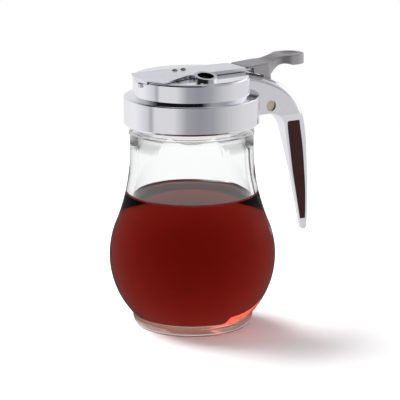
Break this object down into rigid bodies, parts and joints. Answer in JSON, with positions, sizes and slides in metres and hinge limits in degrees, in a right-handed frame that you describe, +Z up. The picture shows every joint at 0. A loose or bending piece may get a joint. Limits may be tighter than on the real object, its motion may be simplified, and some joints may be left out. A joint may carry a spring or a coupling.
{
  "type": "syrup dispenser",
  "caption": "Glass syrup dispenser with a chrome screw top, a sliding pour gate worked by a thumb lever, a side handle with dark inlays, partly full of dark syrup.",
  "frame": {"origin": "on the jar's axis, in the plane the jar stands on", "axes": "+Z up along the jar's axis, +X towards the handle, -X the pouring side"},
  "size_m": [0.1199, 0.09, 0.1431],
  "materials": {
    "clear_glass": "clear pressed glass",
    "syrup": "dark red-brown syrup",
    "chrome": "bright chrome plate on a casting",
    "dark_inlay": "dark brown satin plastic",
    "pin_steel": "dull yellowish pin end",
    "lever_metal": "satin cast metal",
    "gate_metal": "satin plated metal",
    "rivet_steel": "polished dark rivet head"
  },
  "bodies": {
    "dispenser": {"jar": "clear_glass", "syrup": "syrup", "cap": "chrome", "handle_inlay_left": "dark_inlay", "handle_inlay_right": "dark_inlay", "pivot_pin": "pin_steel"},
    "lever": {"lever": "lever_metal"},
    "gate": {"gate": "gate_metal", "gate_rivet_1": "rivet_steel", "gate_rivet_2": "rivet_steel"}
  },
  "joints": [
    {"name": "lever_press", "type": "hinge", "parent": "dispenser", "child": "lever", "pos_m": [0.0479, 0, 0.1159], "axis": [0, 1, 0], "range_deg": [0, 20], "stiffness_Nm_per_rad": 0.35},
    {"name": "gate_slide", "type": "slide", "parent": "dispenser", "child": "gate", "axis": [1, 0, 0], "range_m": [0, 0.0062]}
  ],
  "couplings": [
    {"joint": "gate_slide", "follows": "lever_press", "m_per_rad": 0.017762}
  ]
}
